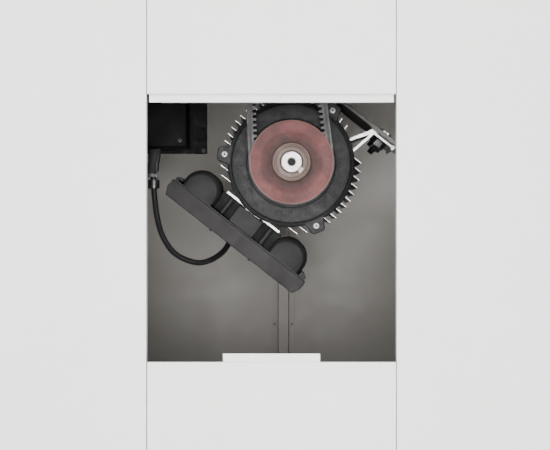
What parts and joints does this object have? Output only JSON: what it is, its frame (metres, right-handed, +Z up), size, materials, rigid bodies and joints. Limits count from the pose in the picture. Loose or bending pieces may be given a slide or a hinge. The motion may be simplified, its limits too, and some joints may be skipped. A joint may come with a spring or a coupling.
{
  "type": "skate sharpener",
  "caption": "Free-standing skate sharpening cabinet: belt-driven wheel through a steel table, floating skate holder on a guide rod, motor behind a front service opening.",
  "frame": {"origin": "on the floor, under the middle of the whole machine", "axes": "+Z up, the front with the service opening faces -Y, +X to the right seen from the front"},
  "size_m": [0.74, 0.494, 0.962],
  "materials": {
    "white_powder_coat": "fine powder coat, satin",
    "grey_paint": "warm grey paint, satin",
    "bright_steel": "machined",
    "dark_steel": "blackened",
    "aluminium": "extruded, bare",
    "black_paint": "textured black paint on a casting",
    "black_plastic": "moulded, fine grain",
    "black_rubber": "matt",
    "red_oxide": "turned, red oxide film",
    "copper_winding": "laminated core with copper windings",
    "pink_abrasive": "bonded abrasive",
    "green_plastic": "moulded",
    "red_plastic": "moulded"
  },
  "bodies": {
    "cabinet": {"left_front_panel": "white_powder_coat", "right_front_panel": "white_powder_coat", "upper_centre_panel": "white_powder_coat", "lower_centre_panel": "white_powder_coat", "cover_catch": "white_powder_coat", "left_side_panel": "white_powder_coat", "right_side_panel": "white_powder_coat", "back_panel": "white_powder_coat", "base_plate": "grey_paint", "back_rib": "grey_paint", "motor_plate": "grey_paint", "motor_hanger": "grey_paint", "wheel_guard": "grey_paint", "control_box_bracket": "grey_paint", "table_top": "bright_steel", "motor_bearing_front": "bright_steel", "motor_bearing_rear": "bright_steel", "spindle_bearing_front": "bright_steel", "spindle_bearing_rear": "bright_steel", "guide_rod": "bright_steel", "cable_clip": "dark_steel", "stator_housing": "aluminium", "motor_foot_left": "aluminium", "motor_foot_right": "aluminium", "start_capacitor": "aluminium", "run_capacitor": "aluminium", "rod_support_left": "aluminium", "rod_support_right": "aluminium", "drive_end_shield": "black_paint", "rear_end_shield": "black_paint", "fan_cover": "black_paint", "spindle_housing": "black_paint", "terminal_box_base": "black_plastic", "terminal_box_lid": "black_plastic", "control_box": "black_plastic", "mains_gland": "black_plastic", "drive_belt": "black_rubber", "motor_cable": "black_rubber", "foot_front_left": "black_rubber", "foot_front_right": "black_rubber", "foot_rear_left": "black_rubber", "foot_rear_right": "black_rubber", "stator_core": "copper_winding"},
    "rotor": {"rotor_shaft": "bright_steel", "rotor_core": "dark_steel", "shaft_key": "dark_steel", "motor_pulley": "red_oxide", "motor_fan": "black_plastic"},
    "spindle": {"spindle_shaft": "bright_steel", "spindle_pulley": "aluminium", "grinding_wheel": "pink_abrasive", "wheel_nut": "dark_steel"},
    "cover": {"access_cover": "white_powder_coat"},
    "carriage": {"carriage": "dark_steel"},
    "holder": {"skate_holder": "aluminium"},
    "jaw": {"clamp_jaw": "bright_steel"},
    "knob": {"clamp_knob": "black_plastic"},
    "start": {"start_button": "green_plastic"},
    "stop": {"stop_button": "red_plastic"},
    "emergency": {"emergency_stop": "red_plastic"}
  },
  "joints": [
    {"name": "motor_spin", "type": "hinge", "parent": "cabinet", "child": "rotor", "pos_m": [0.0224, -0.1, 0.4708], "axis": [0, 1, 0], "continuous": true},
    {"name": "spindle_spin", "type": "hinge", "parent": "cabinet", "child": "spindle", "pos_m": [-0.006, -0.1, 0.8], "axis": [0, 1, 0], "continuous": true},
    {"name": "cover_slide", "type": "slide", "parent": "cabinet", "child": "cover", "axis": [0, 0, -1], "range_m": [0, 0.283]},
    {"name": "carriage_slide", "type": "slide", "parent": "cabinet", "child": "carriage", "axis": [1, 0, 0], "range_m": [-0.15, 0.15]},
    {"name": "holder_tilt", "type": "hinge", "parent": "carriage", "child": "holder", "pos_m": [0, 0.12, 0.94], "axis": [-1, 0, 0], "range_deg": [0, 40]},
    {"name": "jaw_slide", "type": "slide", "parent": "holder", "child": "jaw", "axis": [0, 1, 0], "range_m": [0, 0.005]},
    {"name": "knob_turn", "type": "hinge", "parent": "holder", "child": "knob", "pos_m": [0, -0.08, 0.921], "axis": [0, 1, 0], "range_deg": [0, 451]},
    {"name": "start_press", "type": "slide", "parent": "cabinet", "child": "start", "axis": [0, 1, 0], "range_m": [0, 0.004], "stiffness_N_per_m": 500, "springref_m": -0.001},
    {"name": "stop_press", "type": "slide", "parent": "cabinet", "child": "stop", "axis": [0, 1, 0], "range_m": [0, 0.004], "stiffness_N_per_m": 500, "springref_m": -0.001},
    {"name": "emergency_press", "type": "slide", "parent": "cabinet", "child": "emergency", "axis": [0, 1, 0], "range_m": [0, 0.005], "stiffness_N_per_m": 800, "springref_m": -0.001}
  ],
  "couplings": [
    {"joint": "spindle_spin", "follows": "motor_spin", "ratio": 1.5},
    {"joint": "knob_turn", "follows": "jaw_slide", "rad_per_m": 1570.8}
  ]
}
